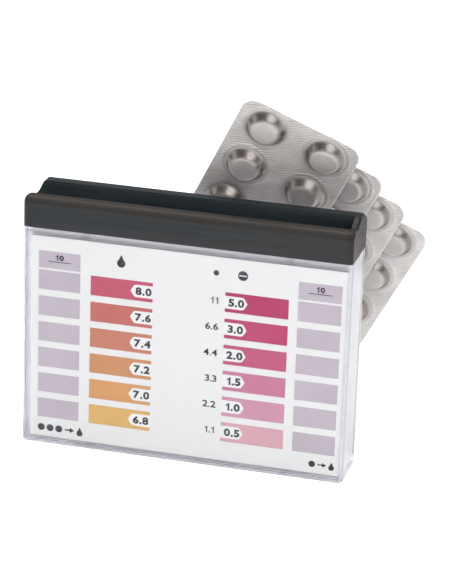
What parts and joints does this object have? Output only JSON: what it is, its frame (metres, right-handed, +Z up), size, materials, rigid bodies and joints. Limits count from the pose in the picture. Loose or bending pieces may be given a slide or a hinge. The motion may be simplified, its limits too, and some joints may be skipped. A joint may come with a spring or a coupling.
{
  "type": "water test kit",
  "caption": "Clear moulded pool water tester with printed colour scales and a dark clip-on lid, with aluminium blister strips of test tablets fanned out behind it.",
  "frame": {"origin": "centre of the tester's base face", "axes": "+Z up, +X to the right along the tester's width, tester's front facing -Y"},
  "size_m": [0.1014, 0.061, 0.0992],
  "materials": {
    "clear_plastic": "gloss",
    "window_plastic": "gloss",
    "printed_film": "satin",
    "diffuser_white": "matte",
    "lid_plastic": "satin",
    "seal_rubber": "matte",
    "blister_foil": "satin",
    "sealing_foil": "matte",
    "tablet": "matte",
    "acidity_ink_1": "satin",
    "acidity_ink_2": "satin",
    "acidity_ink_3": "satin",
    "acidity_ink_4": "satin",
    "acidity_ink_5": "satin",
    "acidity_ink_6": "satin",
    "chlorine_ink_1": "satin",
    "chlorine_ink_2": "satin",
    "chlorine_ink_3": "satin",
    "chlorine_ink_4": "satin",
    "chlorine_ink_5": "satin",
    "chlorine_ink_6": "satin"
  },
  "bodies": {
    "tester": {"tester_body": "clear_plastic", "front_window": "window_plastic", "scale_film": "printed_film", "acidity_standard_1": "acidity_ink_1", "acidity_standard_2": "acidity_ink_2", "acidity_standard_3": "acidity_ink_3", "acidity_standard_4": "acidity_ink_4", "acidity_standard_5": "acidity_ink_5", "acidity_standard_6": "acidity_ink_6", "chlorine_standard_1": "chlorine_ink_1", "chlorine_standard_2": "chlorine_ink_2", "chlorine_standard_3": "chlorine_ink_3", "chlorine_standard_4": "chlorine_ink_4", "chlorine_standard_5": "chlorine_ink_5", "chlorine_standard_6": "chlorine_ink_6", "diffuser_film": "diffuser_white"},
    "lid": {"lid": "lid_plastic", "lid_seal": "seal_rubber"},
    "strip_1": {"strip_1_formed_foil": "blister_foil", "strip_1_sealing_foil": "sealing_foil", "strip_1_tablets": "tablet"},
    "strip_2": {"strip_2_formed_foil": "blister_foil", "strip_2_sealing_foil": "sealing_foil", "strip_2_tablets": "tablet"},
    "strip_3": {"strip_3_formed_foil": "blister_foil", "strip_3_sealing_foil": "sealing_foil", "strip_3_tablets": "tablet"},
    "strip_4": {"strip_4_formed_foil": "blister_foil", "strip_4_sealing_foil": "sealing_foil", "strip_4_tablets": "tablet"}
  },
  "joints": [
    {"name": "lid_lift", "type": "slide", "parent": "tester", "child": "lid", "axis": [0, 0, 1], "range_m": [0, 0.009]},
    {"name": "strip_1_slide", "type": "slide", "parent": "tester", "child": "strip_1", "axis": [0.4384, -0.3221, 0.8391], "range_m": [0, 0.06]},
    {"name": "strip_2_slide", "type": "slide", "parent": "tester", "child": "strip_2", "axis": [0.4384, -0.3221, 0.8391], "range_m": [0, 0.06]},
    {"name": "strip_3_slide", "type": "slide", "parent": "tester", "child": "strip_3", "axis": [0.4384, -0.3221, 0.8391], "range_m": [0, 0.06]},
    {"name": "strip_4_slide", "type": "slide", "parent": "tester", "child": "strip_4", "axis": [0.4384, -0.3221, 0.8391], "range_m": [0, 0.06]}
  ]
}
